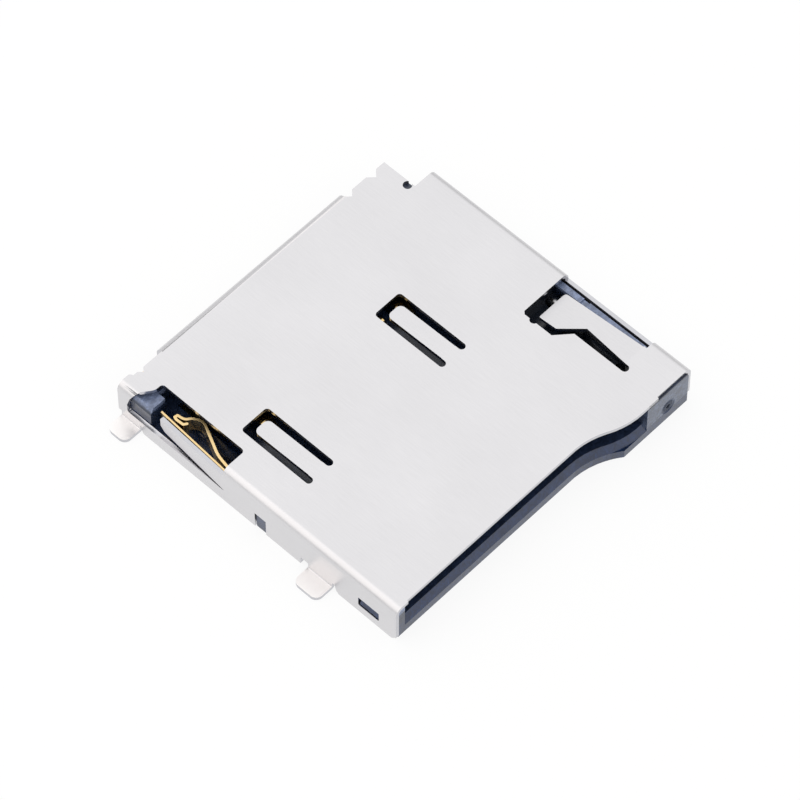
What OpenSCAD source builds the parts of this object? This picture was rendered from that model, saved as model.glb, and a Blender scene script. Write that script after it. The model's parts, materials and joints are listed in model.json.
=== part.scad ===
// Memory card socket for a circuit board: push the card in to lock it, push again to let it out.
// Millimetres. +X is to the right seen from the mouth, +Y is the way the card goes in, +Z is up.
// The origin lies on the board, under the middle of the shell.

/* [Card] */
// Width of the card that the slot takes
card_w = 11; // [10.6:0.1:11.4]
// Side play of the card in the slot
card_play = 0.25; // [0.1:0.05:0.4]
// Distance from the card's left edge to the middle of its row of pads
pad_row_x = 4.85; // [4.6:0.05:5.1]
// Spacing of the pads
pad_pitch = 1.1; // [1:0.05:1.15]

/* [Shell] */
// Height of the top face over the board
shell_h = 1.85; // [1.8:0.01:2.1]
// Distance from the origin to the front edge of the plate
plate_front = 6.47; // [6.2:0.01:7]
// Distance from the origin to the rear edge of the plate
plate_back = 6.42; // [6.2:0.01:7]
// Thickness of the sheet
sheet_t = 0.15; // [0.12:0.01:0.18]
// Outer radius of the bends
bend_r = 0.32; // [0.26:0.01:0.4]
// How far the right-hand block stands forward of the mouth
block_step = 0.66; // [0.4:0.02:0.9]
// Length of the S-curve between the mouth and the block
curve_len = 2.8; // [2:0.1:3.6]
// How far the left front corner stands forward of the plate's edge
corner_lip = 0.06; // [0:0.01:0.12]
// Width of the cut-out at the right rear corner
corner_cut_w = 1.02; // [0.8:0.02:1.2]
// Depth of the cut-out at the right rear corner
corner_cut_l = 1.49; // [1.2:0.02:1.7]
// Length of the rear flap
flap_len = 8.95; // [7:0.05:9.2]
// Middle of the rear flap, left of the shell's middle
flap_x = 0.52; // [0.4:0.02:0.8]
// How far the rear flap's face stands behind the plate's edge
flap_over = 0.25; // [0.18:0.01:0.3]
// Height of the rear flap's lower edge over the board
flap_bottom = 0.8; // [0.8:0.02:1.1]

/* [Spring fingers] */
// Distance between the two U-cut fingers
u_spread = 6.5; // [6:0.02:6.6]
// Outer width of a U cut
u_w = 1.26; // [1.1:0.02:1.5]
// Length of a U cut
u_len = 3.2; // [2.6:0.05:3.6]
// Width of the side slots of a U cut
u_slot = 0.28; // [0.2:0.01:0.32]
// Width of the end slot of a U cut
u_gap = 0.32; // [0.2:0.01:0.4]
// How far a U-cut finger's tip is set down
u_drop = 0.06; // [0.02:0.01:0.12]
// Distance from the block's front to the root of the pin finger
pin_finger_root = 1.66; // [1.5:0.02:1.8]
// Length of the pin finger's window
pin_window_len = 4.07; // [3.9:0.02:4.3]
// Width of the pin finger's head
pin_head_w = 1.35; // [1.25:0.01:1.45]
// Length of the pin finger's head
pin_head_l = 0.8; // [0.7:0.02:1]
// Length of the switch window along the left bend
switch_window_l = 3.92; // [3.6:0.02:4]
// Distance from the shell's left face to the switch window's inner edge
switch_window_w = 1.08; // [0.9:0.02:1.2]
// How far the side finger's tip is set inwards
side_finger_in = 0.2; // [0.1:0.01:0.22]

/* [Solder tabs] */
// Width of a solder tab along the wall
tab_w = 1.12; // [0.9:0.02:1.3]
// How far a solder tab on the left stands out of the wall
tab_out = 0.76; // [0.5:0.02:0.9]
// How far a solder tab on the right stands out of the wall
tab_out_right = 0.58; // [0.46:0.02:0.7]
// Corner radius of a solder tab
tab_r = 0.28; // [0.1:0.02:0.4]
// Distance from the origin to the middle of the front tabs
tab_front_y = 3.02; // [2.8:0.02:3.2]

/* [Housing] */
// Thickness of the floor under the card
floor_z = 0.72; // [0.7:0.01:0.8]
// Thickness of the floor under the slider
channel_z = 0.3; // [0.25:0.01:0.35]
// Thickness of the left wall beside the card
side_wall = 0.33; // [0.3:0.01:0.4]
// Thickness of the guide wall between the mouth and the slider
guide_wall = 0.14; // [0.1:0.01:0.2]
// Thickness of the right rail beside the slider
rail_t = 0.24; // [0.2:0.01:0.28]
// Gap between the right rail and the shell's wall
rail_gap = 0.09; // [0.05:0.01:0.12]
// Thickness of the rear wall that carries the contacts
rear_wall = 0.65; // [0.55:0.01:0.8]
// Height of the lead-in's lower edge at the mouth
lead_z = 0.39; // [0.3:0.01:0.5]
// Depth of the lead-in at the mouth
lead_y = 0.18; // [0.1:0.01:0.3]
// Clearance between the housing and the shell
fit = 0.02; // [0.01:0.005:0.03]

/* [Contacts] */
// Width of a contact
contact_w = 0.46; // [0.36:0.02:0.5]
// Thickness of a contact
contact_t = 0.15; // [0.12:0.01:0.16]
// Distance from the rear edge of the plate to the contact points
contact_set = 4.2; // [4:0.05:4.4]
// Height of the contact points over the card's floor
contact_rise = 0.55; // [0.4:0.01:0.6]
// How far the solder tails reach behind the rear edge of the plate
tail_out = 0.72; // [0.66:0.01:0.9]
// Thickness of the wavy switch blade
blade_t = 0.1; // [0.08:0.01:0.11]
// Thickness of the straight switch blade
fixed_t = 0.07; // [0.06:0.01:0.09]

/* [Eject mechanism] */
// Travel of the slider, over-travel included
stroke = 3.8; // [3.4:0.05:3.8]
// Over-travel past the locked place
over_travel = 0.35; // [0.3:0.05:0.5]
// Running clearance at the slider's sides
slide_play = 0.06; // [0.04:0.01:0.08]
// Width of the slider
slider_w = 1.51; // [1.4:0.01:1.7]
// Height of the slider
slider_h = 0.62; // [0.56:0.01:0.66]
// Depth of the cam groove in the slider
groove_z = 0.32; // [0.28:0.01:0.36]
// Diameter of the cam pin's wire
pin_d = 0.26; // [0.22:0.01:0.28]
// Side swing of the cam pin's tip over the travel
pin_swing = 0.75; // [0.6:0.01:0.8]
// Outer diameter of the eject spring
spring_d = 0.9; // [0.8:0.01:0.95]
// Diameter of the eject spring's wire
spring_wire = 0.13; // [0.1:0.01:0.14]
// Turns of the eject spring
spring_turns = 12; // [9:1:13]

/* [Hidden] */
$fn = 64;
// Overlap of shapes that are joined, and reach of cuts past a face
lap = 0.01;
past = 1;

// Width of the shell: the card beside the slider, with the walls, plays and sheet on both sides
card_side = sheet_t + fit + side_wall + card_w + card_play;
slider_side = guide_wall + slider_w + 2 * slide_play + rail_t + rail_gap + sheet_t;
shell_w = card_side + slider_side;

// Inside of the shell and the card slot
half_w = shell_w / 2;
inner_x = half_w - sheet_t;
inner_z = shell_h - sheet_t;
house_x = inner_x - fit;
wall_top = inner_z - fit;
slot_x0 = -house_x + side_wall;
slot_x1 = slot_x0 + card_w + card_play;
pads_x = slot_x0 + card_play / 2 + pad_row_x;

// S-curve of the mouth: two equal arcs that meet half way
block_front = plate_front + block_step;
curve_x1 = slot_x1 - 0.25;
curve_x0 = curve_x1 - curve_len;
curve_xm = (curve_x0 + curve_x1) / 2;
curve_r = (curve_len * curve_len + block_step * block_step) / (4 * block_step);
// The hollow arc is a hair larger, so that the two arcs meet at a clean corner
hollow_r = curve_r + 0.004;

// Right rear corner
corner_x = half_w - corner_cut_w;
corner_y = plate_back - corner_cut_l;

// Rear flap
flap_x0 = -flap_x - flap_len / 2;
flap_x1 = -flap_x + flap_len / 2;
flap_face = plate_back + flap_over;
flap_bend = flap_face - bend_r;
flap_join = 0.2;

// Details of the plate's outline: lips at the left wall's two ends, set-back over the block, relief hole
front_lip_w = 0.6;
wall_lip = 0.14;
wall_lip_w = 0.5;
block_set = 0.06;
block_set_x = corner_x - 0.7;
relief_hole = [corner_x - 0.15, corner_y + 0.22];
relief_hole_r = 0.17;

// Small V cuts in the plate's rear edge: the place along X and the width
rear_notches = [[flap_x1 + 0.2, 0.42], [corner_x - 0.66, 0.5], [-half_w + 0.98, 0.3]];

// U-cut fingers over the row of contacts
contact_y = plate_back - contact_set;
u_back = contact_y;
u_root = u_back - u_len;
u_flat = 0.3;
u_corner_r = 0.15;
u_finger_w = u_w - 2 * u_slot - 0.02;
u_tip_r = u_finger_w * 0.32;

// Slider channel, slider and cam groove
channel_x0 = slot_x1 + guide_wall;
channel_x1 = inner_x - rail_gap - rail_t;
channel_front = -block_front + 1;
channel_back = corner_y - 0.35;
rail_top = 1.45;
slider_x0 = channel_x0 + slide_play;
slider_x1 = channel_x1 - slide_play;
slider_mid = (slider_x0 + slider_x1) / 2;
slider_lift = 0.04;
slider_z0 = channel_z + slider_lift;
slider_z1 = slider_z0 + slider_h;
slider_front_gap = 0.08;
slider_y0 = channel_front + slider_front_gap;
lane_play = 0.12;
lane_w = pin_d + lane_play;
slider_front_wall = 0.66;
slider_rear_wall = 0.25;
rear_clear = 0.01;
tip_y = slider_y0 + slider_front_wall + lane_w / 2 + stroke;
slider_y1 = tip_y + lane_w / 2 + rear_clear + slider_rear_wall;
tip_set = 0.03;
tip_x = slider_mid + pin_swing / 2 + tip_set;
lane_end = [tip_x - pin_swing, tip_y - stroke];
return_set = 0.065;
return_x = tip_x + return_set;
return_merge = tip_y - stroke / 3;
groove_floor = slider_z1 - groove_z;

// Cam pin: pivot in the block, tip in the groove
pin_r = pin_d / 2;
pivot_set = 0.3;
pivot_back = 0.43;
pin_lift = 0.05;
pivot_x = slider_mid + pivot_set;
pivot_y = channel_front - pivot_back;
pin_z = slider_z1 + pin_lift + pin_r;
pin_len = norm([tip_x - pivot_x, tip_y - pivot_y]);
pin_rest = atan2(tip_x - pivot_x, tip_y - pivot_y);
pin_elbow = 0.15;
pin_foot_gap = 0.04;
pin_foot_z = groove_floor + pin_foot_gap;
pivot_foot_z = 0.47;
pivot_seat_z = pin_z - pin_r - 0.03;

// Pin finger of the shell: its free end stays just over the pin
pin_root_y = -block_front + pin_finger_root;
pin_back_y = pin_root_y + pin_window_len;
pin_x1 = channel_x1 - 0.04;
pin_x0 = pin_x1 - pin_head_w;
pin_left = pin_x0 - 0.47;
pin_stem_x0 = pin_x1 - 0.935;
pin_stem_x1 = pin_x1 - 0.665;
pin_end_gap = 0.33;
pin_hinge_y = pin_root_y + 0.12;
pin_end_y = pin_back_y - pin_end_gap;
pin_drop = inner_z - (pin_z + pin_r + 0.02);
pin_angle = atan(pin_drop / (pin_end_y - pin_hinge_y));
pin_slot = 0.305;
rail_notch_y = pin_end_y - 0.92;
rail_notch_w = 0.28;
rail_notch_z = 0.07;
bend_low = shell_h - bend_r;

// Places of the tabs on a wall: the middle along Y, the width, and the flare of the relief in front
left_tabs = [[-tab_front_y, tab_w, 0.3], [plate_back - 0.45, 0.9, 0.14]];
right_tabs = [[-tab_front_y, tab_w, 0.3], [corner_y - 0.75, 0.9, 0.14]];
relief_z = 0.38;

// Latch windows in a wall, where the housing's barbs snap in, and the open notch with its rib
latch_low = 0.4;
latch_high = 0.85;
latch_len = 0.95;
left_latch_y = -plate_front + 1.2;
right_latch_y = -block_front + 1.1;
notch_y = -0.22;
notch_w = 0.52;
notch_h = 0.8;
left_foot_cut = 0.21;
right_foot_cut = 0.45;

// Switch window, side finger and blades
switch_y1 = plate_back - 0.97;
switch_y0 = switch_y1 - switch_window_l;
switch_x1 = -half_w + switch_window_w;
wall_cut_z = 0.64;
post_y = plate_back - 1.28;
post_x = -half_w + 0.87;
post_z = 1.5;
post_bevel = 0.12;
blade_past = 0.21;
blade_end_gap = 0.22;
side_len = post_y - switch_y0 - blade_past - blade_end_gap;
side_angle = asin(side_finger_in / side_len);
blade_slot_y0 = switch_y0 - 1.05;
blade_leg_w = 0.4;
blade_clear = 0.185;
curl_x = 0.17;
curl_w = 0.15;
blade_leg_step = blade_leg_w + 0.15;
blade_fixed_x = -inner_x + 0.105;
blade_moving_x = -inner_x + 0.25;
blade_low = 0.82;
blade_high = 1.42;
fixed_high = blade_high - 0.04;
pocket_z = 0.35;

// Rear wall and contacts
corner_gap = 0.03;
relief_back = corner_y + 0.42;
wall_back = plate_back - 0.32;
wall_front = wall_back - rear_wall;
ledge_back = plate_back + 0.03;
ledge_z = 0.75;
ledge_set = 0.3;
base_z = 0.375;
contact_window_w = contact_w + 0.16;
pocket_floor = 0.12;
contact_window_y0 = contact_y - 1.05;
contact_window_y1 = wall_front - 0.45;
contact_count = 8;
contact_slot_play = 0.01;

// Eject spring
spring_z = channel_z + spring_d / 2 + 0.05;
spring_mean = (spring_d - spring_wire) / 2;
spring_post_r = spring_mean - spring_wire / 2 - 0.06;
slider_top = spring_z + spring_d / 2 + 0.02;
spring_y0 = slider_y1;
spring_y1 = channel_back;
coil_steps = 14;
coil_sides = 6;
end_turns = 1.25;

// Card hook of the slider
hook_reach = 1;
hook_set = 1.44;
hook_l = 0.7;
hook_x = slot_x1 - hook_reach;
hook_y = slider_y0 + hook_set;
hook_z0 = floor_z + 0.06;
hook_z1 = inner_z - 0.2;

// A flat shape drawn in X and Z, run along Y
module along_y(y0, y1) {
    translate([0, y1, 0])
        rotate([90, 0, 0])
            linear_extrude(y1 - y0)
                children();
}

// A flat shape drawn in Y and Z, run along X
module along_x(x0, x1) {
    translate([x0, 0, 0])
        rotate([90, 0, 90])
            linear_extrude(x1 - x0)
                children();
}

// A box from its two corners
module box(low, high) {
    translate(low)
        cube(high - low);
}

// A flat rectangle from its two corners
module area(low, high) {
    translate(low)
        square(high - low);
}

// A flat rectangle with the given corner radius
module soft_area(low, high, r) {
    area([low.x + r, low.y], [high.x - r, high.y]);
    area([low.x, low.y + r], [high.x, high.y - r]);
    for (x = [low.x + r, high.x - r])
        for (y = [low.y + r, high.y - r])
            translate([x, y])
                circle(r);
}

// A straight slot with round ends
module lane(a, b, w) {
    for (p = [a, b])
        translate(p)
            circle(w / 2);
    translate(a)
        rotate(atan2(b.y - a.y, b.x - a.x))
            translate([0, -w / 2])
                square([norm(b - a), w]);
}

// A path with its inner corners rounded off by curves that start at the given distance from each corner
function unit(v) = v / norm(v);
function corner_curve(a, p, b, trim, steps) =
    let (s = p + unit(a - p) * min(trim, norm(a - p) * 0.45))
    let (e = p + unit(b - p) * min(trim, norm(b - p) * 0.45))
    [for (i = [0 : steps]) let (t = i / steps) s * (1 - t) * (1 - t) + p * 2 * t * (1 - t) + e * t * t];
function soft_path(p, trim, steps) = [
    p[0],
    for (i = [1 : len(p) - 2]) each corner_curve(p[i - 1], p[i], p[i + 1], trim, steps),
    p[len(p) - 1]
];

// The outline of a strip of the given width along a path
function heading(p, i) = unit(p[min(i + 1, len(p) - 1)] - p[max(i - 1, 0)]);
function beside(p, i, w) = let (h = heading(p, i)) p[i] + [-h.y, h.x] * w;
function strip(p, w) = concat(
    [for (i = [0 : len(p) - 1]) beside(p, i, w / 2)],
    [for (i = [len(p) - 1 : -1 : 0]) beside(p, i, -w / 2)]
);

// Plan of the socket behind its front edge, S-curve and block included
module mouth_plan() {
    area([-half_w, -plate_front], [half_w, plate_back]);
    difference() {
        area([curve_x0, -block_front], [curve_xm, -plate_front + lap]);
        translate([curve_x0, -plate_front - curve_r])
            circle(hollow_r, $fn = 180);
    }
    intersection() {
        area([curve_xm, -block_front - past], [curve_x1, -plate_front + lap]);
        translate([curve_x1, -block_front + curve_r])
            circle(curve_r, $fn = 180);
    }
    area([curve_x1, -block_front], [half_w, -plate_front + lap]);
}

// Section of a box with its two upper corners rounded
module arch(w, h, r) {
    area([-w / 2, 0], [w / 2, h - r]);
    area([-w / 2 + r, 0], [w / 2 - r, h]);
    for (x = [-w / 2 + r, w / 2 - r])
        translate([x, h - r])
            circle(r);
}

// Section of the sheet: plate, two bends and two walls
module sheet_section() {
    difference() {
        arch(shell_w, shell_h, bend_r);
        translate([0, -past])
            arch(shell_w - 2 * sheet_t, inner_z + past, bend_r - sheet_t);
    }
}

// Small V-shaped cut in the plate's rear edge
module rear_notch(x, w) {
    translate([x, plate_back])
        rotate(45)
            square(w / sqrt(2), center = true);
}

// Outline of the sheet in plan
module shell_plan() {
    difference() {
        union() {
            mouth_plan();
            area([-half_w, -plate_front - corner_lip], [-half_w + front_lip_w, -plate_front + lap]);
            area([-half_w, plate_back - lap], [-half_w + wall_lip_w, plate_back + wall_lip]);
            translate([-half_w + wall_lip_w, plate_back])
                circle(wall_lip);
        }
        area([corner_x, corner_y], [half_w + past, plate_back + past]);
        area([flap_x0, flap_bend], [flap_x1, plate_back + past]);
        translate(relief_hole)
            circle(relief_hole_r);
        for (n = rear_notches)
            rear_notch(n[0], n[1]);
        area([block_set_x, -block_front - past], [half_w + past, -block_front + block_set]);
    }
}

// Rear flap with its bend
module rear_flap() {
    along_x(flap_x0, flap_x1) {
        intersection() {
            difference() {
                translate([flap_bend, bend_low])
                    circle(bend_r);
                translate([flap_bend, bend_low])
                    circle(bend_r - sheet_t);
            }
            area([flap_bend, bend_low], [flap_face, shell_h]);
        }
        area([flap_face - sheet_t, flap_bottom], [flap_face, bend_low + lap]);
        area([flap_bend - flap_join, inner_z], [flap_bend + lap, shell_h]);
    }
}

// U-shaped cut and the flat of its finger, past the root
module u_cut(x) {
    leg = u_w / 2 - u_slot / 2;
    for (side = [-1, 1])
        lane([x + side * leg, u_root + u_slot / 2], [x + side * leg, u_back - u_slot / 2], u_slot);
    soft_area([x - u_w / 2, u_root + u_flat], [x + u_w / 2, u_back], u_corner_r);
}

// Finger inside a U cut, set down a little at its tip
module u_finger(x) {
    side = u_finger_w / 2;
    len = u_len - u_flat - u_gap;
    slope = asin(u_drop / len);
    translate([x, u_root + u_flat, shell_h - lap * sin(slope)])
        rotate([-slope, 0, 0])
            translate([0, 0, -sheet_t])
                linear_extrude(sheet_t) {
                    area([-side, -lap], [side, len / 2]);
                    soft_area([-side, len / 4], [side, len], u_tip_r);
                }
}

// Window round the pin finger, through the plate and over the right bend
module pin_window() {
    slot_x = pin_stem_x0 - pin_slot;
    corner = 0.1;
    bulge_r = 0.16;
    side_x = pin_x1 + 0.03;
    widen_y = pin_end_y - 1.55;
    wide_y = pin_end_y - 1.03;
    polygon([
        [pin_left + corner, pin_back_y],
        [half_w + past, pin_back_y],
        [half_w + past, pin_root_y],
        [side_x, pin_root_y],
        [side_x, pin_hinge_y],
        [pin_stem_x0, pin_hinge_y],
        [pin_stem_x0, pin_root_y],
        [slot_x, pin_root_y],
        [slot_x, widen_y],
        [pin_left, wide_y],
        [pin_left, pin_back_y - corner]
    ]);
    translate([slot_x + pin_slot / 2, pin_root_y])
        circle(pin_slot / 2);
    translate([pin_left + bulge_r / 3, pin_end_y - bulge_r])
        circle(bulge_r);
}

// Finger that holds the cam pin down: a stem with a wide head
module pin_finger() {
    root = pin_hinge_y;
    neck_y = pin_end_y - 1.62;
    outer_round = 0.14;
    inner_round = 0.06;
    right_end = [pin_x1, pin_end_y];
    left_end = [pin_x0, pin_end_y];
    translate([0, root, shell_h - lap * sin(pin_angle)])
        rotate([-pin_angle, 0, 0])
            translate([0, -root, -sheet_t])
                linear_extrude(sheet_t)
                    polygon([
                        [pin_x1, root - lap],
                        each corner_curve([pin_x1, root], right_end, left_end, outer_round, 4),
                        each corner_curve(right_end, left_end, [pin_x0, root], inner_round, 3),
                        [pin_x0, pin_end_y - pin_head_l],
                        [pin_stem_x1, neck_y],
                        [pin_stem_x0, root - lap]
                    ]);
}

// Window over the card switch: the plate's part, then the part that runs over the bend into the wall
module switch_window() {
    corner_r = 0.14;
    bend_x = -half_w + bend_r;
    rim_x = switch_x1 - 0.22;
    rim_y = switch_y1 + 0.31;
    foot_y = plate_back - 0.4;
    deep = [plate_back - 0.3, shell_h - 0.8];
    mid_bend = [deep.x - 0.27, shell_h - bend_r * 0.3];
    rim = corner_curve([switch_x1, switch_y1], [rim_x - corner_r, switch_y1], [bend_x, rim_y], corner_r, 3);
    translate([0, 0, bend_low])
        linear_extrude(past) {
            soft_area([-half_w - past, switch_y0], [switch_x1, switch_y1], corner_r);
            polygon([
                [rim[0].x, switch_y1 - corner_r],
                each rim,
                [bend_x, rim_y],
                [-half_w - past, rim_y],
                [-half_w - past, switch_y1 - corner_r]
            ]);
        }
    along_x(-half_w - past, bend_x)
        polygon([
            [switch_y0, shell_h + past],
            [switch_y0, wall_cut_z - 0.02],
            each corner_curve([switch_y0, wall_cut_z], [deep.x, wall_cut_z], deep, deep.x - foot_y, 4),
            deep,
            [deep.x - 0.15, bend_low],
            mid_bend,
            [rim_y, shell_h],
            [rim_y, shell_h + past]
        ]);
}

// Finger cut from the left wall, set inwards at its free end
module side_finger() {
    slit = 0.04;
    low = wall_cut_z + slit;
    tip_low = low + 0.16;
    tip_cut = 0.2;
    top_slit = 0.1;
    translate([-half_w, switch_y0, 0])
        rotate(-side_angle)
            along_x(0, sheet_t) {
                polygon([
                    [-lap, low - slit],
                    [side_len - tip_cut, tip_low],
                    [side_len, tip_low + tip_cut],
                    [side_len, bend_low - top_slit],
                    [-lap, bend_low]
                ]);
            }
}

// Relief cuts on both sides of a solder tab: square behind it, flared in front of it
module tab_relief(t) {
    front = t[0] - t[1] / 2;
    rear = t[0] + t[1] / 2 + 0.36;
    flare = t[2];
    flare_z = relief_z - 0.1;
    corner_r = 0.05;
    along_x(-half_w - past, -half_w + sheet_t + past / 4) {
        soft_area([front - flare / 2, -past], [rear, relief_z], corner_r);
        polygon([
            [front, flare_z],
            [front - flare / 2, flare_z],
            [front - flare * 0.62, flare_z * 0.43],
            [front - flare, 0],
            [front - flare, -past],
            [front, -past]
        ]);
    }
}

// Solder tab bent outwards from the foot of the left wall
module tab(y, w, reach) {
    inside = 0.03;
    outside = inside + sheet_t;
    mid_x = -half_w - inside;
    along_y(y - w / 2, y + w / 2) {
        area([-half_w, outside], [-half_w + sheet_t, relief_z + 0.02]);
        intersection() {
            difference() {
                translate([mid_x, outside])
                    circle(outside);
                translate([mid_x, outside])
                    circle(inside);
            }
            area([mid_x, 0], [mid_x + outside, outside + lap]);
        }
    }
    linear_extrude(sheet_t) {
        area([-half_w - reach + tab_r, y - w / 2], [mid_x + lap, y + w / 2]);
        area([-half_w - reach, y - w / 2 + tab_r], [mid_x + lap, y + w / 2 - tab_r]);
        for (side = [-1, 1])
            translate([-half_w - reach + tab_r, y + side * (w / 2 - tab_r)])
                circle(tab_r);
    }
}

// Openings of one wall, seen from its side: latch window, notch, and the cut-off lower front corner
module wall_holes(latch_y, front, cut) {
    corner_r = 0.05;
    soft_area([latch_y - latch_len / 2, latch_low], [latch_y + latch_len / 2, latch_high], corner_r);
    area([notch_y - notch_w / 2, -past], [notch_y + notch_w / 2, notch_h]);
    polygon([
        [-front - past, cut],
        [-front, cut],
        [-front + cut, 0],
        [-front + cut, -past],
        [-front - past, -past]
    ]);
}

module wall_openings() {
    along_x(-half_w - past, -half_w + sheet_t + past / 4)
        wall_holes(left_latch_y, plate_front + corner_lip, left_foot_cut);
    along_x(half_w - sheet_t - past / 4, half_w + past)
        wall_holes(right_latch_y, block_front, right_foot_cut);
}

module shell() {
    color("gainsboro") {
        difference() {
            intersection() {
                along_y(-block_front, plate_back + wall_lip)
                    sheet_section();
                translate([0, 0, -past])
                    linear_extrude(shell_h + 2 * past)
                        shell_plan();
            }
            translate([0, 0, inner_z - past / 4])
                linear_extrude(past)
                    for (side = [-1, 1])
                        u_cut(pads_x + side * u_spread / 2);
            translate([0, 0, bend_low - 0.05])
                linear_extrude(past)
                    pin_window();
            switch_window();
            wall_openings();
            for (t = left_tabs)
                tab_relief(t);
            mirror([1, 0, 0])
                for (t = right_tabs)
                    tab_relief(t);
        }
        for (side = [-1, 1])
            u_finger(pads_x + side * u_spread / 2);
        pin_finger();
        side_finger();
        rear_flap();
        for (t = left_tabs)
            tab(t[0], t[1], tab_out);
        mirror([1, 0, 0])
            for (t = right_tabs)
                tab(t[0], t[1], tab_out_right);
    }
}

// Plan of the housing inside the shell
module housing_plan() {
    intersection() {
        difference() {
            mouth_plan();
            area([corner_x - corner_gap, corner_y - fit], [half_w + past, plate_back + past]);
        }
        area([-house_x, -block_front], [house_x, wall_back]);
    }
}

// Plan of the foot under the mouth: the hollow of the S-curve runs on until it meets the block's front
module foot_plan() {
    difference() {
        area([curve_x0, -block_front], [slot_x1 + lap, -plate_front + lap]);
        translate([curve_x0, -plate_front - curve_r])
            circle(hollow_r, $fn = 180);
    }
}

// Sloping lead-in along the mouth, cut from the floor's front edge
module lead_in() {
    rise = floor_z - lead_z;
    along_x(slot_x0, curve_x0 + lap)
        polygon([
            [-plate_front - past, lead_z],
            [-plate_front, lead_z],
            [-plate_front + lead_y, floor_z],
            [-plate_front + lead_y, floor_z + past],
            [-plate_front - past, floor_z + past]
        ]);
    intersection() {
        translate([curve_x0, -plate_front - curve_r, lead_z])
            cylinder(r1 = hollow_r, r2 = hollow_r + lead_y, h = rise + lap, $fn = 180);
        box([curve_x0, -block_front - past, lead_z], [curve_xm, -plate_front + past, floor_z + past]);
    }
    difference() {
        box([curve_xm, -block_front - past, lead_z], [slot_x1, -plate_front + lead_y, floor_z + lap]);
        translate([curve_x1, -block_front + curve_r, lead_z])
            cylinder(r1 = curve_r, r2 = curve_r - lead_y, h = rise + 2 * lap, $fn = 180);
        box([curve_x1, -block_front + lead_y, 0], [slot_x1 + past, 0, floor_z + past]);
    }
}

// Barb that snaps into a latch window of the left wall
module barb(y) {
    along_y(y - latch_len / 2 + 0.04, y + latch_len / 2 - 0.04)
        polygon([
            [-house_x + lap, latch_low + 0.03],
            [-half_w + 0.04, latch_low + 0.03],
            [-half_w + 0.08, latch_low + 0.12],
            [-house_x + lap, latch_high - 0.04]
        ]);
}

// Rib that stands in the open notch of a wall
module rib() {
    rib_w = notch_w / 2 - 0.04;
    box([-half_w + 0.05, notch_y - rib_w, 0], [-house_x + lap, notch_y + rib_w, notch_h - 0.06]);
}

// Round moulding mark in the block's front: a wide shallow ring round a small deep hole
module moulding_mark() {
    ring_out = 0.35;
    ring_in = 0.2;
    ring_deep = 0.03;
    slope = 0.04;
    hole_r = 0.1;
    hole_deep = 0.15;
    translate([slider_mid + 0.12, -block_front, 0.74])
        rotate([-90, 0, 0]) {
            difference() {
                translate([0, 0, -lap])
                    cylinder(r1 = ring_out + lap, r2 = ring_out - slope, h = ring_deep + lap);
                cylinder(r1 = ring_in, r2 = ring_in + slope, h = ring_deep + lap);
            }
            translate([0, 0, -lap])
                cylinder(r = hole_r, h = hole_deep + lap);
        }
}

// Space for one contact: a pocket under its arm and a slot through the rear wall
module contact_space(x) {
    pocket_w = contact_window_w / 2;
    box([x - pocket_w, contact_window_y0, pocket_floor], [x + pocket_w, contact_window_y1, wall_top]);
    slot_w = contact_w / 2 + contact_slot_play;
    slot_h = contact_t / 2 + contact_slot_play;
    box([x - slot_w, contact_window_y1 - lap, base_z - slot_h],
        [x + slot_w, ledge_back + past, base_z + slot_h]);
}

// Room for the switch: the pocket and the slots of the two blades in the left wall
module switch_space() {
    box([-half_w, switch_y0, pocket_z], [-half_w + 1, post_y, shell_h]);
    play = 0.01;
    box([blade_fixed_x - fixed_t / 2 - play, blade_slot_y0 - play, blade_low - 0.22],
        [blade_moving_x + blade_t / 2 + play, switch_y0 + lap, blade_high + 0.02]);
    fixed_leg = [blade_fixed_x, blade_slot_y0, fixed_t / 2 + play];
    moving_leg = [blade_moving_x, blade_slot_y0 + blade_leg_step, blade_t / 2 + play];
    for (leg = [fixed_leg, moving_leg])
        box([leg.x - leg.z, leg.y - play, -past], [leg.x + leg.z, leg.y + blade_leg_w + play, blade_low]);
}

// Seat of the cam pin in the block: a bore for its foot and a slot in which it swings
module pivot_seat() {
    translate([pivot_x, pivot_y, pivot_foot_z - 0.02])
        cylinder(r = pin_r + 0.03, h = shell_h);
    box([slider_x0, pivot_y - 0.3, pivot_seat_z], [slider_x1, channel_front + lap, shell_h]);
}

// Floors, walls, rails and posts, before they are trimmed to the inside of the shell
module housing_walls() {
    linear_extrude(channel_z)
        housing_plan();
    linear_extrude(lead_z)
        foot_plan();
    intersection() {
        linear_extrude(floor_z)
            housing_plan();
        box([-half_w, -block_front - past, 0], [channel_x0, plate_back, shell_h]);
    }
    box([-house_x, -plate_front, 0], [slot_x0, switch_y0, wall_top]);
    box([slot_x1, -block_front, 0], [house_x, channel_front, wall_top]);
    box([slot_x1, -block_front + lap, 0], [channel_x0, channel_front + 0.8, wall_top]);
    box([channel_x1, channel_front - lap, 0], [channel_x1 + rail_t, corner_y - fit, rail_top]);
    box([channel_x0 - lap, channel_back, 0], [channel_x1 + rail_t, corner_y - fit, rail_top]);
    box([post_x - lap, wall_front, 0], [corner_x - corner_gap, wall_back, wall_top]);
    box([flap_x0 + ledge_set, wall_back - lap, 0], [flap_x1 - ledge_set, ledge_back, ledge_z]);
    box([corner_x - 0.75, corner_y - fit - lap, 0], [corner_x - corner_gap, wall_front + lap, wall_top]);
    box([corner_x - 0.4, corner_y - fit - lap, 0], [corner_x + corner_gap, relief_back, wall_top]);
    along_y(post_y, plate_back - fit)
        polygon([
            [-house_x, 0],
            [-house_x, post_z - post_bevel * 2.5],
            [-house_x + post_bevel, post_z],
            [post_x, post_z],
            [post_x, 0]
        ]);
}

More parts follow.
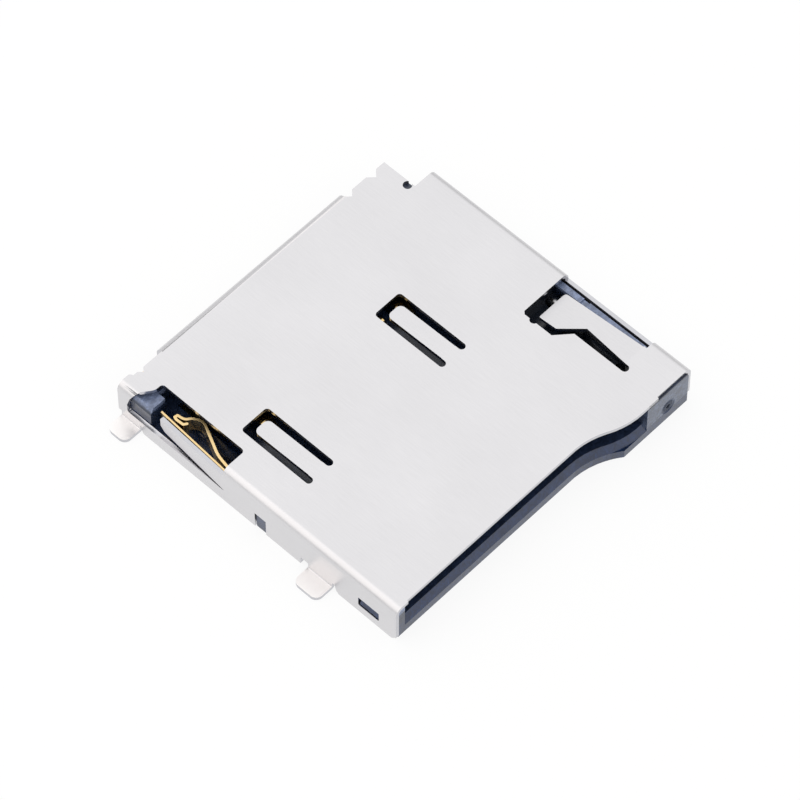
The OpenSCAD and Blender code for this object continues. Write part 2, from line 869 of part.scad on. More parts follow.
module housing() {
    color([0.13, 0.14, 0.16]) {
        difference() {
            union() {
                intersection() {
                    housing_walls();
                    along_y(-block_front - past, plate_back + past)
                        arch(2 * house_x, wall_top, bend_r - sheet_t);
                }
                barb(left_latch_y);
                rib();
                mirror([1, 0, 0]) {
                    barb(right_latch_y);
                    rib();
                }
                translate([slider_mid, channel_back + lap, spring_z])
                    rotate([90, 0, 0])
                        cylinder(r = spring_post_r, h = 0.5);
            }
            lead_in();
            moulding_mark();
            for (i = [1 : contact_count])
                contact_space(contact_x(i));
            switch_space();
            pivot_seat();
            box([channel_x1 - lap, rail_notch_y, rail_top - rail_notch_z],
                [channel_x1 + rail_t + lap, rail_notch_y + rail_notch_w, shell_h]);
        }
    }
}

// Place of a contact along X
function contact_x(i) = pads_x + pad_pitch * (i - (contact_count + 1) / 2);

// One contact: solder tail, base in the rear wall, and a sprung arm that ends in a curled tip
module contact(i) {
    point_z = floor_z + contact_rise - contact_t / 2;
    foot = contact_t / 2;
    route = [
        [plate_back + tail_out, foot],
        [ledge_back + 0.42, foot],
        [ledge_back + 0.14, base_z],
        [contact_window_y1 - 0.1, base_z],
        [contact_y + 0.5, point_z - 0.1],
        [contact_y, point_z + 0.06],
        [contact_y - 0.42, point_z - 0.2],
        [contact_y - 0.75, floor_z - 0.1]
    ];
    color("goldenrod")
        along_x(contact_x(i) - contact_w / 2, contact_x(i) + contact_w / 2)
            polygon(strip(soft_path(route, 0.22, 5), contact_t));
}

// Leg of a switch blade, down to the board
module blade_leg(x, y, t) {
    box([x - t / 2, y, 0], [x + t / 2, y + blade_leg_w, blade_low + lap]);
}

module detect_fixed() {
    root = [blade_fixed_x, switch_y0];
    route = [
        [blade_fixed_x, blade_slot_y0],
        root,
        root + (side_len + blade_past) * [sin(side_angle), cos(side_angle)]
    ];
    color("goldenrod") {
        translate([0, 0, blade_low - 0.2])
            linear_extrude(fixed_high - blade_low + 0.2)
                polygon(strip(soft_path(route, 0.3, 4), fixed_t));
        blade_leg(blade_fixed_x, blade_slot_y0, fixed_t);
    }
}

module detect_spring() {
    x = blade_moving_x;
    y = switch_y0;
    w = contact_x(1) - contact_w / 2 - blade_clear - blade_t / 2 - x;
    l = side_len * 0.9;
    curl = x + curl_x;
    tip = [curl + curl_w, y + l];
    route = [
        [x, blade_slot_y0],
        [x, y + l * 0.035],
        [x + w * 0.16, y + l * 0.26],
        [x + w * 0.68, y + l * 0.54],
        [x + w, y + l * 0.72],
        [x + w * 0.79, y + l * 0.84],
        [curl + curl_w * 1.25, y + l * 0.895],
        tip
    ];
    hook = [
        tip,
        [curl + curl_w * 0.27, y + l * 1.007],
        [curl, y + l * 0.968],
        [curl + curl_w * 0.13, y + l * 0.86],
        [curl + curl_w * 0.87, y + l * 0.835]
    ];
    color("goldenrod") {
        translate([0, 0, blade_low])
            linear_extrude(blade_high - blade_low) {
                polygon(strip(soft_path(route, 0.2, 4), blade_t));
                for (i = [0 : len(hook) - 2])
                    lane(hook[i], hook[i + 1], blade_t);
            }
        blade_leg(x, blade_slot_y0 + blade_leg_step, blade_t);
    }
}

// Heart-shaped cam groove: way in, latch, and way back
module cam_groove() {
    out_turn = [return_x, lane_end.y];
    merge = [return_x, return_merge];
    rest = [tip_x, tip_y];
    latch = [(lane_end.x + lane_w / 2 + return_x - lane_w / 2) / 2, lane_end.y + over_travel - 0.09];
    lane(rest, lane_end, lane_w);
    lane(lane_end, out_turn, lane_w);
    lane(out_turn, merge, lane_w);
    lane(merge, rest, lane_w);
    translate(latch)
        circle(pin_r + 0.02);
}

module slider() {
    color([0.2, 0.21, 0.24]) {
        difference() {
            union() {
                box([slider_x0, slider_y0, slider_z0], [slider_x1, slider_y1, slider_z1]);
                box([slider_x0, slider_y1 - slider_rear_wall, slider_z0], [slider_x1, slider_y1, slider_top]);
                along_y(hook_y, hook_y + hook_l)
                    polygon([
                        [hook_x, hook_z0],
                        [slider_x0 + 0.1, hook_z0],
                        [slider_x0 + 0.1, slider_z1],
                        [slider_x0 - 0.08, slider_z1],
                        [slider_x0 - 0.08, hook_z1],
                        [hook_x + 0.2, hook_z1],
                        [hook_x, hook_z1 - 0.2]
                    ]);
                translate([slider_mid, slider_y1 - lap, spring_z])
                    rotate([-90, 0, 0])
                        cylinder(r = spring_post_r, h = 0.6);
            }
            translate([0, 0, groove_floor])
                linear_extrude(past)
                    cam_groove_clip();
        }
    }
}

// The groove, kept clear of the slider's raised rear wall
module cam_groove_clip() {
    intersection() {
        cam_groove();
        area([slider_x0, slider_y0], [slider_x1, slider_y1 - slider_rear_wall + lap]);
    }
}

// Bent wire: foot in the block, straight run, tip in the groove
module cam_pin() {
    color("silver")
        translate([pivot_x, pivot_y, 0])
            rotate(-pin_rest) {
                bend_z = pin_z - pin_elbow;
                translate([0, 0, pivot_foot_z])
                    cylinder(r = pin_r, h = bend_z - pivot_foot_z);
                translate([0, pin_elbow, bend_z])
                    rotate([90, 0, 90])
                        rotate(90)
                            rotate_extrude(angle = 90)
                                translate([pin_elbow, 0])
                                    circle(pin_r);
                translate([0, pin_elbow, pin_z])
                    rotate([-90, 0, 0])
                        cylinder(r = pin_r, h = pin_len - 2 * pin_elbow);
                translate([0, pin_len - pin_elbow, bend_z])
                    rotate([90, 0, 90])
                        rotate_extrude(angle = 90)
                            translate([pin_elbow, 0])
                                circle(pin_r);
                translate([0, pin_len, pin_foot_z])
                    cylinder(r = pin_r, h = bend_z - pin_foot_z);
            }
}

// Points of a coil between the slider and the channel's end wall, its end turns closed
function coil_rise(u) =
    let (free = spring_y1 - spring_y0 - spring_wire, dead = end_turns * spring_wire * 1.05,
        a = min(u, end_turns), b = max(0, min(u, spring_turns - end_turns) - end_turns),
        c = max(0, u - spring_turns + end_turns), pitch = (free - 2 * dead) / (spring_turns - 2 * end_turns))
    a * spring_wire * 1.05 + b * pitch + c * spring_wire * 1.05;
function coil_ring(u) = [for (k = [0 : coil_sides - 1])
    let (q = 360 * k / coil_sides, r = spring_mean + spring_wire / 2 * cos(q))
    [slider_mid + r * cos(360 * u), spring_y0 + spring_wire / 2 + coil_rise(u) + spring_wire / 2 * sin(q),
        spring_z + r * sin(360 * u)]];

module eject_spring() {
    rings = spring_turns * coil_steps;
    points = [for (i = [0 : rings]) each coil_ring(i / coil_steps)];
    sides = [for (i = [0 : rings - 1]) for (k = [0 : coil_sides - 1])
        let (m = (k + 1) % coil_sides, a = i * coil_sides)
        [a + k, a + m, a + coil_sides + m, a + coil_sides + k]];
    first = [for (k = [coil_sides - 1 : -1 : 0]) k];
    last = [for (k = [0 : coil_sides - 1]) rings * coil_sides + k];
    color("lightslategray")
        polyhedron(points, concat(sides, [first, last]), convexity = 10);
}

shell();
housing();
contact(1);  // contact_1
contact(2);  // contact_2
contact(3);  // contact_3
contact(4);  // contact_4
contact(5);  // contact_5
contact(6);  // contact_6
contact(7);  // contact_7
contact(8);  // contact_8
detect_spring();
detect_fixed();
slider();
cam_pin();
eject_spring();
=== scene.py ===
import json
import math

import bpy
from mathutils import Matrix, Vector

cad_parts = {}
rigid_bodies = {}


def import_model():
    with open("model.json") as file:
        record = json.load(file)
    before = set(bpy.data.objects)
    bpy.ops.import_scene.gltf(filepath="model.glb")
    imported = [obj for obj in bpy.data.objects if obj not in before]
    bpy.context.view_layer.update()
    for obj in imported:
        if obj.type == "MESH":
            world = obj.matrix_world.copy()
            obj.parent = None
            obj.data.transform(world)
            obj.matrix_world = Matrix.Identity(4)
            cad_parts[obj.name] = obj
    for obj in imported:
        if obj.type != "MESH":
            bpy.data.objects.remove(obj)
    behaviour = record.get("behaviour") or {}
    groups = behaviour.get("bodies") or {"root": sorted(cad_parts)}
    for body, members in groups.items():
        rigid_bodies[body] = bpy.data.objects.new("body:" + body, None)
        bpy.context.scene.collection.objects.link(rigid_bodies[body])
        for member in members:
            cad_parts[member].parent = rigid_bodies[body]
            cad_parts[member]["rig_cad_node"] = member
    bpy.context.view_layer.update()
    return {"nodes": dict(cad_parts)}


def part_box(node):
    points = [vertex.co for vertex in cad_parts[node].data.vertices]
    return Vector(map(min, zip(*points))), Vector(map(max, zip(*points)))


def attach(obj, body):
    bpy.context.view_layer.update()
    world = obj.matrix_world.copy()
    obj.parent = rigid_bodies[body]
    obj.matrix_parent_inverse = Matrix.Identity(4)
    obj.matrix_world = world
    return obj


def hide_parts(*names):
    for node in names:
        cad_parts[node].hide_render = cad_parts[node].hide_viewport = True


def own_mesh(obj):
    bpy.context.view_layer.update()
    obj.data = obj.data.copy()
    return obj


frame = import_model()
mm = 0.001
print("frame loaded:", len(frame["nodes"]), "nodes")


def hexToLinear(code):
    # sRGB hex to the linear values that Blender's sockets hold
    channels = [int(code[i:i + 2], 16) / 255 for i in (1, 3, 5)]
    linear = [c / 12.92 if c <= 0.04045 else ((c + 0.055) / 1.055) ** 2.4 for c in channels]
    return (*linear, 1.0)


def addNode(tree, kind, settings=None, links=None, **attributes):
    # one node, its own attributes, its socket values, and what feeds its sockets
    # a Mix node's sockets go by number: 0 is the share, 2 and 3 are numbers, 6 and 7 are colours
    node = tree.nodes.new(kind)
    for name, value in attributes.items():
        setattr(node, name, value)
    for socket, value in (settings or {}).items():
        node.inputs[socket].default_value = value
    for socket, source in (links or {}).items():
        tree.links.new(source, node.inputs[socket])
    return node


def newMaterial(name):
    material = bpy.data.materials.new(name)
    material.use_nodes = True
    tree = material.node_tree
    tree.nodes.clear()
    shader = addNode(tree, "ShaderNodeBsdfPrincipled")
    addNode(tree, "ShaderNodeOutputMaterial", links={"Surface": shader.outputs["BSDF"]})
    place = addNode(tree, "ShaderNodeTexCoord")
    return material, tree, shader, place.outputs["Object"]


def dress(nodeName, material):
    # a CAD node keeps its mesh and gets this finish
    piece = frame["nodes"][nodeName]
    piece.data.materials.clear()
    piece.data.materials.append(material)


# Stainless strip, bright-annealed then satin rolled: soft pale reflections, a fine grain along the strip
shellSteel = {
    "colour": "#e4e3e5",
    "shade": "#cecdcf",
    "grainShare": 0.65,        # of the mottling, the rest is cloud
    "roughness": 0.36,
    "roughnessSpread": 0.05,
    "grainWidth": 0.05 * mm,   # drawn coarser than real rolling lines, so that it shows
    "grainLength": 0.9 * mm,
    "cloudSize": 2.4 * mm,
    "bumpHeight": 0.0012 * mm,
}

# The strip's sheared edge, burnished by the punch: greyer and shinier than the rolled face, so dark in a slot
cutSteel = {
    "colour": "#d0d0d4",
    "shade": "#bababf",
    "grainShare": 0.5,
    "roughness": 0.22,
    "roughnessSpread": 0.05,
    "grainWidth": 0.04 * mm,
    "grainLength": 0.06 * mm,
    "cloudSize": 0.4 * mm,
    "bumpHeight": 0.002 * mm,
}

# The strip's inner side: the same steel, duller, and greyer as painted shade for the shade inside the shell
insideSteelPaintedShade = dict(shellSteel, colour="#9b9b9f", shade="#8d8d92", roughness=0.48)

# The solder tabs are dipped in matt tin: whiter and a little warmer than the steel, frosted all ways alike
tabTin = {
    "colour": "#f8f6f5",
    "shade": "#f2efee",
    "grainShare": 0.5,
    "roughness": 0.36,
    "roughnessSpread": 0.06,
    "grainWidth": 0.05 * mm,
    "grainLength": 0.05 * mm,
    "cloudSize": 0.3 * mm,
    "bumpHeight": 0.001 * mm,
}

# The card's contacts have thick gold over nickel, burnished where the pads wipe: warm, and it glints in the
# slots
wipedGold = {
    "colour": "#f9dfa8",
    "shade": "#ebc274",
    "grainShare": 0.4,
    "roughness": 0.14,
    "roughnessSpread": 0.03,
    "grainWidth": 0.03 * mm,
    "grainLength": 0.5 * mm,
    "cloudSize": 0.8 * mm,
    "bumpHeight": 0.0008 * mm,
}

# The switch blades have only a gold flash on phosphor bronze: paler, smooth on the sides, frosted on the
# sheared edges
bladeGold = dict(wipedGold, colour="#fbe5b8", shade="#f0cc86", edgeRoughness=0.45)

# Drawn spring wire: bright and smooth, grain along the draw
wireSteel = {
    "colour": "#d8d8d8",
    "shade": "#bdbdc0",
    "grainShare": 0.4,
    "roughness": 0.22,
    "roughnessSpread": 0.05,
    "grainWidth": 0.02 * mm,
    "grainLength": 0.4 * mm,
    "cloudSize": 0.6 * mm,
    "bumpHeight": 0.0006 * mm,
}

# How the noise of every metal is drawn
metalPattern = {
    "grain": {"Scale": 1.0, "Detail": 3.0, "Roughness": 0.6},
    "cloudDetail": 2.0,
    "grainSpan": {"From Min": 0.3, "From Max": 0.7},  # where most of the noise lies
    "edgeSpan": {"From Min": 0.6, "From Max": 0.9},   # how far up or down a face looks, from side to edge
    "bumpStrength": 0.35,
}


def makeMetal(name, look):
    material, tree, shader, place = newMaterial(name)
    grainScale = (1 / look["grainWidth"], 1 / look["grainLength"], 1 / look["grainWidth"])
    stretched = addNode(tree, "ShaderNodeMapping", {"Scale": grainScale}, {"Vector": place})
    grain = addNode(tree, "ShaderNodeTexNoise", metalPattern["grain"],
                    {"Vector": stretched.outputs["Vector"]})
    cloud = addNode(tree, "ShaderNodeTexNoise",
                    {"Scale": 1 / look["cloudSize"], "Detail": metalPattern["cloudDetail"]},
                    {"Vector": place})
    mottle = addNode(tree, "ShaderNodeMix", {0: look["grainShare"]},
                     {2: cloud.outputs["Fac"], 3: grain.outputs["Fac"]})
    tone = addNode(tree, "ShaderNodeMix", {6: hexToLinear(look["shade"]), 7: hexToLinear(look["colour"])},
                   {0: mottle.outputs[0]}, data_type="RGBA")
    relief = addNode(tree, "ShaderNodeBump",
                     {"Strength": metalPattern["bumpStrength"], "Distance": look["bumpHeight"]},
                     {"Height": grain.outputs["Fac"]})
    smoothest = look["roughness"] - look["roughnessSpread"]
    roughest = look["roughness"] + look["roughnessSpread"]
    span, cause = metalPattern["grainSpan"], grain.outputs["Fac"]
    if "edgeRoughness" in look:
        # faces that look up or down are the strip's sheared edges, frosted by the punch
        facing = addNode(tree, "ShaderNodeNewGeometry")
        upward = addNode(tree, "ShaderNodeSeparateXYZ", links={"Vector": facing.outputs["Normal"]})
        flat = addNode(tree, "ShaderNodeMath", None, {0: upward.outputs["Z"]}, operation="ABSOLUTE")
        smoothest, roughest = look["roughness"], look["edgeRoughness"]
        span, cause = metalPattern["edgeSpan"], flat.outputs["Value"]
    frosting = addNode(tree, "ShaderNodeMapRange", dict(span, **{"To Min": smoothest, "To Max": roughest}),
                       {"Value": cause})
    tree.links.new(tone.outputs[2], shader.inputs["Base Color"])
    tree.links.new(frosting.outputs["Result"], shader.inputs["Roughness"])
    tree.links.new(relief.outputs["Normal"], shader.inputs["Normal"])
    shader.inputs["Metallic"].default_value = 1.0
    return material


# Liquid-crystal polymer, moulded against a fine spark-eroded cavity: slate blue-black with a low sheen and
# pale flow streaks. Floor and lip are bluest, and the tops that the shell leaves bare are painted pale, as
# painted light.
housingPlastic = {
    "levels": (                # floor and lip, card space, bare tops painted pale as painted light, and dark again under the plate as painted shade
        (0.69 * mm, "#182a4c"), (0.72 * mm, "#202b41"), (1.26 * mm, "#202b41"),
        (1.36 * mm, "#6d7995"), (1.53 * mm, "#6d7995"), (1.6 * mm, "#202b41"),
    ),
    "top": 1.85 * mm,
    # the block's front and its side face at the mouth are painted paler, as painted light, fading back to the
    # skin colour further in
    "front": "#4b556a",
    "blockSide": 4.7 * mm,     # the block is right of this
    "frontFull": -7.04 * mm,   # its front, painted paler as painted light, is before this, and the painted light fades away
    "frontGone": -6.5 * mm,    # back to this
    "frontMiddle": 1.05 * mm,  # it reaches up and down from this
    "frontReach": 0.55 * mm,
    "gateMark": (5.825 * mm, -7.13 * mm, 0.74 * mm),  # where the gate was torn off: rough and dark
    "gateInner": 0.2 * mm,
    "gateOuter": 0.34 * mm,
    "gateTone": 0.5,
    "gateRoughness": 0.75,
    "streakDark": 0.8,
    "streakPale": 1.8,
    "streakWidth": 0.2 * mm,
    "roughness": 0.27,
    "grit": 0.04 * mm,
    "bumpHeight": 0.003 * mm,
}

# The slider is moulded of the same polymer, darker and smoother for sliding
sliderPlastic = dict(housingPlastic, levels=((0, "#1f2530"), (housingPlastic["top"], "#232936")),
                     front="#1f2530", streakPale=1.3)

# How the streaks and the grit of both are drawn
plasticPattern = {
    "flow": {"Detail": 4.0, "Roughness": 0.65, "Distortion": 0.6},
    "flowSpan": {"From Min": 0.4, "From Max": 0.75},  # from the dark streaks to the pale ones
    "gritDetail": 2.0,
    "bumpStrength": 0.5,
    "ior": 1.65,
}


def makePlastic(name, look):
    material, tree, shader, place = newMaterial(name)
    where = addNode(tree, "ShaderNodeSeparateXYZ", links={"Vector": place})
    level = addNode(tree, "ShaderNodeMapRange", {"From Min": 0.0, "From Max": look["top"]},
                    {"Value": where.outputs["Z"]})
    # height bands: the bare tops painted pale as painted light, and a painted shade band under the plate
    skin = addNode(tree, "ShaderNodeValToRGB", links={"Fac": level.outputs["Result"]})
    stops = skin.color_ramp.elements
    while len(stops) < len(look["levels"]):
        stops.new(1.0)
    for stop, (stopHeight, colour) in zip(stops, look["levels"]):
        stop.position = stopHeight / look["top"]
        stop.color = hexToLinear(colour)
    # painted light: the block's front near the mouth is mixed towards the paler front colour, fading out
    # further in
    frontLightFade = addNode(tree, "ShaderNodeMapRange",
                      {"From Min": look["frontFull"], "From Max": look["frontGone"],
                       "To Min": 1.0, "To Max": 0.0},
                      {"Value": where.outputs["Y"]})
    onBlock = addNode(tree, "ShaderNodeMath", {1: look["blockSide"]}, {0: where.outputs["X"]},
                      operation="GREATER_THAN")
    atHeight = addNode(tree, "ShaderNodeMath", {1: look["frontMiddle"], 2: look["frontReach"]},
                       {0: where.outputs["Z"]}, operation="COMPARE")
    blockSkin = addNode(tree, "ShaderNodeMath", None,
                        {0: onBlock.outputs["Value"], 1: atHeight.outputs["Value"]}, operation="MULTIPLY")
    frontLightMask = addNode(tree, "ShaderNodeMath", None,
                      {0: frontLightFade.outputs["Result"], 1: blockSkin.outputs["Value"]}, operation="MULTIPLY")
    frontLitSkin = addNode(tree, "ShaderNodeMix", {7: hexToLinear(look["front"])},
                   {0: frontLightMask.outputs["Value"], 6: skin.outputs["Color"]}, data_type="RGBA")
    flow = addNode(tree, "ShaderNodeTexNoise", dict(plasticPattern["flow"], Scale=1 / look["streakWidth"]),
                   {"Vector": place})
    streak = addNode(tree, "ShaderNodeMapRange",
                     dict(plasticPattern["flowSpan"],
                          **{"To Min": look["streakDark"], "To Max": look["streakPale"]}),
                     {"Value": flow.outputs["Fac"]})
    gate = addNode(tree, "ShaderNodeVectorMath", {1: look["gateMark"]}, {0: place}, operation="DISTANCE")
    gateSpan = {"From Min": look["gateInner"], "From Max": look["gateOuter"]}
    gateTone = addNode(tree, "ShaderNodeMapRange", dict(gateSpan, **{"To Min": look["gateTone"]}),
                       {"Value": gate.outputs["Value"]})
    gateFrost = addNode(tree, "ShaderNodeMapRange",
                        dict(gateSpan, **{"To Min": look["gateRoughness"], "To Max": look["roughness"]}),
                        {"Value": gate.outputs["Value"]})
    tone = addNode(tree, "ShaderNodeMath", None,
                   {0: streak.outputs["Result"], 1: gateTone.outputs["Result"]}, operation="MULTIPLY")
    colour = addNode(tree, "ShaderNodeHueSaturation", None,
                     {"Color": frontLitSkin.outputs[2], "Value": tone.outputs["Value"]})
    grit = addNode(tree, "ShaderNodeTexNoise",
                   {"Scale": 1 / look["grit"], "Detail": plasticPattern["gritDetail"]}, {"Vector": place})
    relief = addNode(tree, "ShaderNodeBump",
                     {"Strength": plasticPattern["bumpStrength"], "Distance": look["bumpHeight"]},
                     {"Height": grit.outputs["Fac"]})
    tree.links.new(colour.outputs["Color"], shader.inputs["Base Color"])
    tree.links.new(gateFrost.outputs["Result"], shader.inputs["Roughness"])
    tree.links.new(relief.outputs["Normal"], shader.inputs["Normal"])
    shader.inputs["IOR"].default_value = plasticPattern["ior"]
    return material


shellFinish = makeMetal("satinStainlessStrip", shellSteel)
cutFinish = makeMetal("shearedStainlessEdge", cutSteel)
# the inner side's greyer colour is painted shade
insideFinishPaintedShade = makeMetal("stainlessInsidePaintedShade", insideSteelPaintedShade)
tabFinish = makeMetal("mattTinPlate", tabTin)
housingFinish = makePlastic("mattLiquidCrystalPolymer", housingPlastic)
sliderFinish = makePlastic("smoothLiquidCrystalPolymer", sliderPlastic)
bladeFinish = makeMetal("goldFlashedBronze", bladeGold)
wipedFinish = makeMetal("burnishedGoldContact", wipedGold)
wireFinish = makeMetal("drawnSpringWire", wireSteel)
for nodeName in frame["nodes"]:
    if nodeName.startswith("contact_"):
        dress(nodeName, wipedFinish)
    if nodeName.startswith("detect_"):
        dress(nodeName, bladeFinish)
dress("housing", housingFinish)
dress("slider", sliderFinish)
dress("cam_pin", wireFinish)
print("finishes set")


# The stamped shell: the CAD skin with its sheared edges, its inner side and its tinned tabs told apart
shellSheet = {
    "thickness": 0.15 * mm,
    "thickest": 1.3,           # in thicknesses; a face with more than this behind it is a cut edge
    "hair": 0.002 * mm,        # how far inside the skin a thickness is measured from
    "tabReach": 7.02 * mm,     # beyond this, either side, is solder tab
    "mergeGap": 0.0005 * mm,
    "flatAngle": 0.2,          # degrees; triangles closer than this are one flat face
    "smoothAngle": 32,
    "flatWeight": 100,         # how much the large faces rule the normals
}
sheetFinishes = {"outside": shellFinish, "cutEdge": cutFinish, "inside": insideFinishPaintedShade, "tab": tabFinish}


def copyNode(nodeName, pieceName):
    # the CAD node's own triangles as a new piece
    source = frame["nodes"][nodeName]
    bpy.ops.object.select_all(action="DESELECT")
    source.select_set(True)
    bpy.context.view_layer.objects.active = source
    bpy.ops.object.duplicate()
    piece = bpy.context.object
    piece.name = pieceName
    piece.data.name = pieceName
    piece.parent = None
    del piece["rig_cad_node"]
    return piece


sheet = copyNode("shell", "stampedShell")
bpy.ops.object.mode_set(mode="EDIT")
bpy.ops.mesh.select_all(action="SELECT")
bpy.ops.mesh.remove_doubles(threshold=shellSheet["mergeGap"])
bpy.ops.object.mode_set(mode="OBJECT")
sheet.data.materials.clear()
for finish in sheetFinishes.values():
    sheet.data.materials.append(finish)
finishOrder = list(sheetFinishes)
faceCounts = dict.fromkeys(finishOrder, 0)
for face in sheet.data.polygons:
    # a rolled face has only the sheet's thickness behind it, a cut edge has more
    start = face.center - face.normal * shellSheet["hair"]
    hit, farSide = sheet.ray_cast(start, -face.normal)[:2]
    if not hit or (farSide - start).length > shellSheet["thickest"] * shellSheet["thickness"]:
        kind = "cutEdge"
    elif abs(face.center.x) > shellSheet["tabReach"]:
        kind = "tab"
    elif face.center.dot(face.normal) < 0:
        kind = "inside"
    else:
        kind = "outside"
    face.material_index = finishOrder.index(kind)
    faceCounts[kind] += 1
bpy.ops.object.mode_set(mode="EDIT")
bpy.ops.mesh.select_all(action="SELECT")
bpy.ops.mesh.dissolve_limited(angle_limit=math.radians(shellSheet["flatAngle"]), delimit={"MATERIAL"})
bpy.ops.object.mode_set(mode="OBJECT")
bpy.ops.object.shade_smooth_by_angle(angle=math.radians(shellSheet["smoothAngle"]))
# the flat faces keep their own normals, and the bends between them turn smoothly
bpy.ops.object.modifier_add(type="WEIGHTED_NORMAL")
flatNormals = sheet.modifiers[-1]
flatNormals.weight = shellSheet["flatWeight"]
flatNormals.keep_sharp = True
bpy.ops.object.modifier_apply(modifier=flatNormals.name)
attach(sheet, "socket")
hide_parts("shell")
print("shell triangles by finish:", faceCounts)


# The eject spring: round wire, wound with closed end turns, squeezed between the slider and the channel's end
ejectSpring = {
    "wire": 0.13 * mm,
    "turns": 12,
    "endTurns": 1.25,
    "closedPitch": 1.05,       # in wire diameters
    "travel": 3.8 * mm,
    "pointsPerTurn": 20,
    "curveOrder": 4,
    "stepsPerPoint": 2,
    "wireRounding": 3,
}
springLow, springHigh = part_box("eject_spring")
springMid = (springLow + springHigh) / 2
wireRadius = ejectSpring["wire"] / 2
coilRadius = (springHigh.x - springLow.x) / 2 - wireRadius
springLength = springHigh.y - springLow.y
closedPitch = ejectSpring["closedPitch"] * ejectSpring["wire"]
openTurns = ejectSpring["turns"] - 2 * ejectSpring["endTurns"]
openRise = springLength - ejectSpring["wire"] - 2 * ejectSpring["endTurns"] * closedPitch
openPitch = openRise / openTurns


def coilRise(turn):
    # closed turns at both ends, open ones between
    first = min(turn, ejectSpring["endTurns"])
    last = max(0, turn - ejectSpring["turns"] + ejectSpring["endTurns"])
    return (first + last) * closedPitch + (turn - first - last) * openPitch


bpy.ops.object.select_all(action="DESELECT")
bpy.ops.curve.primitive_nurbs_path_add(location=(0, 0, 0))
spring = bpy.context.object
spring.name = "coiledEjectSpring"
wirePath = spring.data.splines[0]
pointCount = ejectSpring["turns"] * ejectSpring["pointsPerTurn"] + 1
wirePath.points.add(pointCount - len(wirePath.points))
for i, point in enumerate(wirePath.points):
    turn = i / ejectSpring["pointsPerTurn"]
    angle = 2 * math.pi * turn
    x = springMid.x + coilRadius * math.cos(angle)
    y = springLow.y + wireRadius + coilRise(turn)
    z = springMid.z + coilRadius * math.sin(angle)
    point.co = (x, y, z, 1)
wirePath.use_endpoint_u = True
wirePath.order_u = ejectSpring["curveOrder"]
wirePath.resolution_u = ejectSpring["stepsPerPoint"]
spring.data.bevel_depth = wireRadius
spring.data.bevel_resolution = ejectSpring["wireRounding"]
spring.data.use_fill_caps = True
bpy.ops.object.convert(target="MESH")
spring = bpy.context.object
bpy.ops.object.shade_smooth()
spring.data.materials.clear()
spring.data.materials.append(wireFinish)
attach(spring, "socket")
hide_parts("eject_spring")
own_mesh(spring)
print("spring:", len(spring.data.polygons), "faces")


# Studio: a white floor that keeps the shadow, soft lamps, and the photograph's long lens
studio = {
    "floorSize": 3.0,
    "floorColour": "#fdfdfd",
    "glowColour": "#ffffff",
    "shadowShare": 0.12,
    "worldColour": "#ffffff",
    "zenithStrength": 0.94,
    "horizonStrength": 0.68,
}
bpy.ops.object.select_all(action="DESELECT")
bpy.ops.mesh.primitive_plane_add(size=studio["floorSize"], location=(0, 0, 0))
floor = bpy.context.object
floor.name = "floor"
floorMaterial = bpy.data.materials.new("paperFloor")
floorMaterial.use_nodes = True
floorTree = floorMaterial.node_tree
floorTree.nodes.clear()
# matt white paper for the light that falls on the object, nearly plain white where it is seen or mirrored
paper = addNode(floorTree, "ShaderNodeBsdfDiffuse", {"Color": hexToLinear(studio["floorColour"])})
glow = addNode(floorTree, "ShaderNodeEmission", {"Color": hexToLinear(studio["glowColour"]), "Strength": 1.0})
seen = addNode(floorTree, "ShaderNodeMixShader", {"Fac": 1 - studio["shadowShare"]},
               {1: paper.outputs["BSDF"], 2: glow.outputs["Emission"]})
rays = addNode(floorTree, "ShaderNodeLightPath")
either = addNode(floorTree, "ShaderNodeMath", None,
                 {0: rays.outputs["Is Camera Ray"], 1: rays.outputs["Is Glossy Ray"]}, operation="MAXIMUM")
anySeen = addNode(floorTree, "ShaderNodeMath", None,
                  {0: either.outputs["Value"], 1: rays.outputs["Is Transmission Ray"]}, operation="MAXIMUM")
whole = addNode(floorTree, "ShaderNodeMixShader", None,
                {"Fac": anySeen.outputs["Value"], 1: paper.outputs["BSDF"], 2: seen.outputs["Shader"]})
addNode(floorTree, "ShaderNodeOutputMaterial", links={"Surface": whole.outputs["Shader"]})
floor.data.materials.append(floorMaterial)

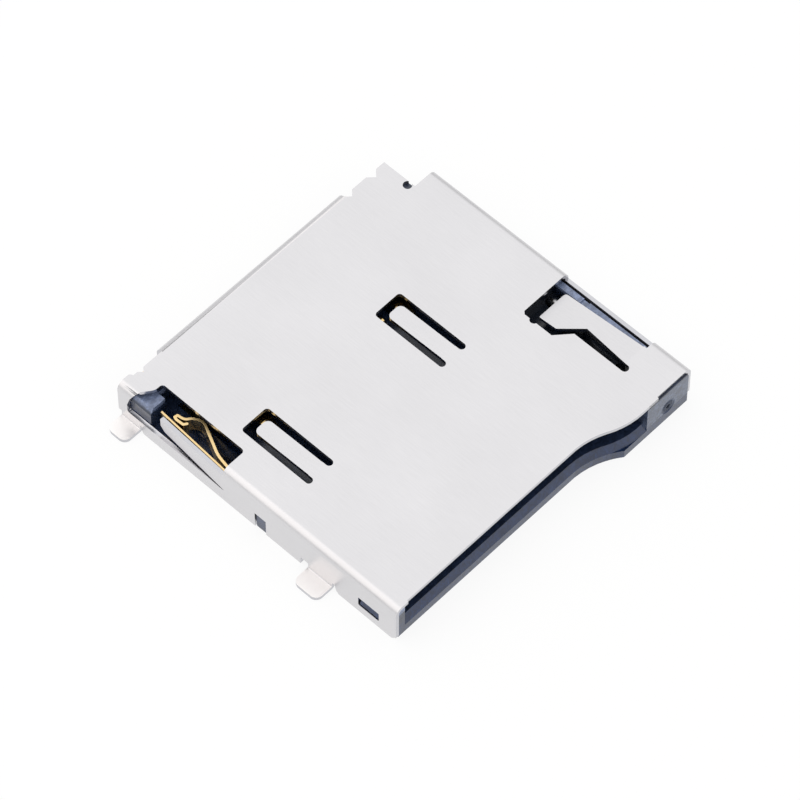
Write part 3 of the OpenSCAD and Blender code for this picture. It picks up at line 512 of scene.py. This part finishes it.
# the room is dimmer near the horizon than overhead
world = bpy.data.worlds.new("studio")
bpy.context.scene.world = world
world.use_nodes = True
worldTree = world.node_tree
sky = worldTree.nodes["Background"]
sky.inputs["Color"].default_value = hexToLinear(studio["worldColour"])
direction = addNode(worldTree, "ShaderNodeTexCoord")
height = addNode(worldTree, "ShaderNodeSeparateXYZ", links={"Vector": direction.outputs["Generated"]})
fade = addNode(worldTree, "ShaderNodeMapRange",
               {"To Min": studio["horizonStrength"], "To Max": studio["zenithStrength"]},
               {"Value": height.outputs["Z"]})
worldTree.links.new(fade.outputs["Result"], sky.inputs["Strength"])

softboxes = {
    "overheadBox": {"place": (0.12, 0.11, 0.26), "size": 0.34, "power": 0.078, "colour": "#ffffff"},
    "leftBox": {"place": (-0.158, 0.115, 0.21), "size": 0.4, "power": 0.225, "colour": "#fff8f2"},
    "frontBox": {"place": (0.06, -0.30, 0.14), "size": 0.22, "power": 0.03, "colour": "#ffffff"},
}
for boxName, box in softboxes.items():
    bpy.ops.object.light_add(type="AREA", location=box["place"])
    lamp = bpy.context.object
    lamp.name = boxName
    lamp.data.shape = "DISK"
    lamp.data.size = box["size"]
    lamp.data.energy = box["power"]
    lamp.data.color = hexToLinear(box["colour"])[:3]
    lamp.rotation_euler = (-Vector(box["place"])).to_track_quat("-Z", "Y").to_euler()

camera = {
    "azimuth": -46.361,      # degrees from the front, towards the left
    "elevation": 56.778,
    "distance": 180.646 * mm,
    "target": (0.05 * mm, 0, 0),
    "focalPixels": 5265.36,  # on the 800 pixel wide frame
    "frameWidth": 800,
    "sensor": 36.0,
    "nearest": 5 * mm,
}
azimuth = math.radians(camera["azimuth"])
elevation = math.radians(camera["elevation"])
outward = Vector((math.sin(azimuth), -math.cos(azimuth), 0))
back = outward * math.cos(elevation) + Vector((0, 0, math.sin(elevation)))
bpy.ops.object.camera_add(location=Vector(camera["target"]) + back * camera["distance"])
eye = bpy.context.object
eye.name = "photoCamera"
eye.rotation_euler = (-back).to_track_quat("-Z", "Y").to_euler()
eye.data.sensor_width = camera["sensor"]
eye.data.lens = camera["focalPixels"] * camera["sensor"] / camera["frameWidth"]
eye.data.clip_start = camera["nearest"]
bpy.context.scene.camera = eye
bpy.context.scene.view_settings.view_transform = "Standard"
print("studio and camera set")
